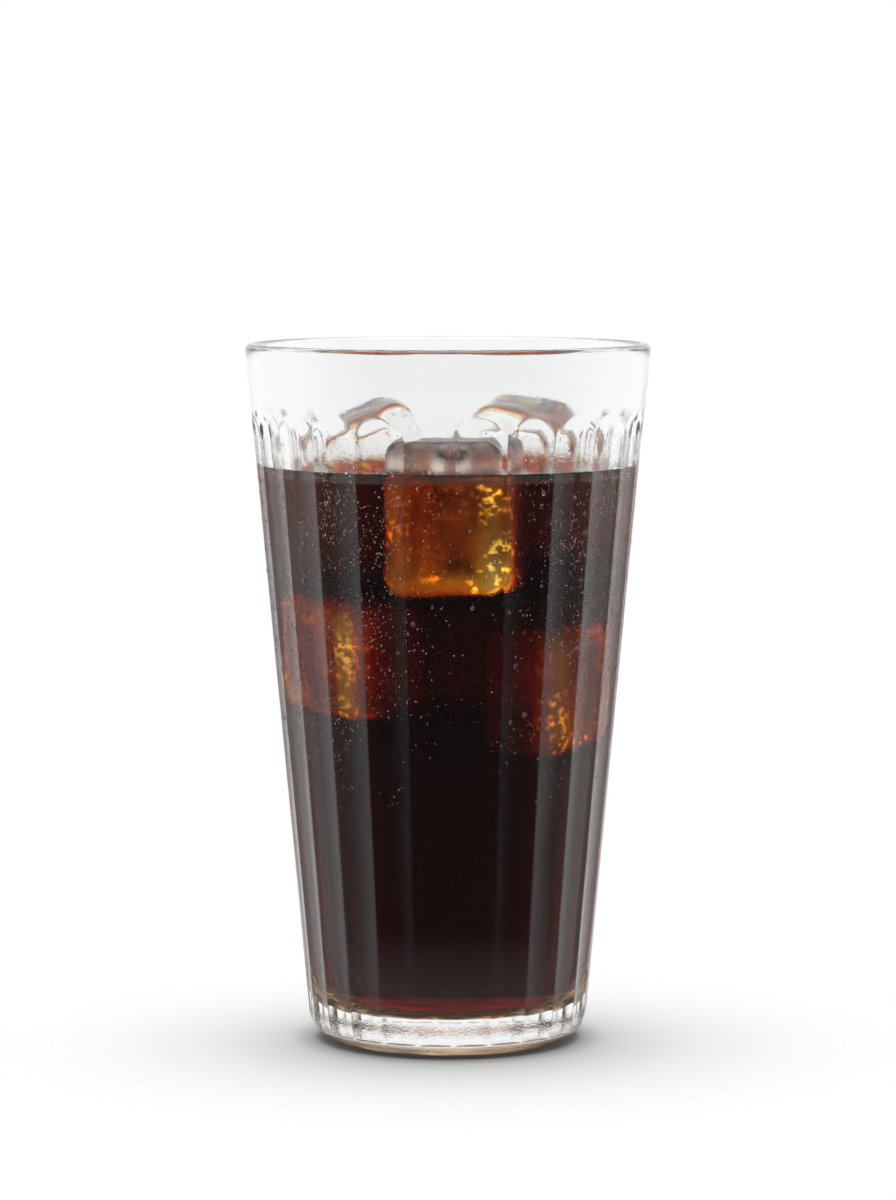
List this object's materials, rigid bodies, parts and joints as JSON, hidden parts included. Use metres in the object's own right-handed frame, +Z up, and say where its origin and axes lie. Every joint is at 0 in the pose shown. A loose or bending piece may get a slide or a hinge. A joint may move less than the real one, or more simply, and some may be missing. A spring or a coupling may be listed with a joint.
{
  "type": "iced cold brew coffee in a fluted glass",
  "caption": "Tall tapered glass with concave vertical flutes and a thick clear base, filled with dark iced coffee, with ice blocks standing out of the drink.",
  "frame": {"origin": "centre of the underside, on the surface that the glass stands on", "axes": "+Z up the glass's axis; -Y is the front, where one ice block stands against the wall; +X to the right seen from the front"},
  "size_m": [0.081, 0.081, 0.14],
  "materials": {
    "glass": "clear pressed glass, misted with fine droplets outside",
    "coffee": "clear dark liquid, amber where thin and near black where deep",
    "ice": "wet clear ice with melted edges and a faint cloudy core"
  },
  "bodies": {
    "root": {"glass": "glass", "coffee": "coffee", "ice_front": "ice", "ice_left": "ice", "ice_right": "ice"}
  },
  "joints": []
}
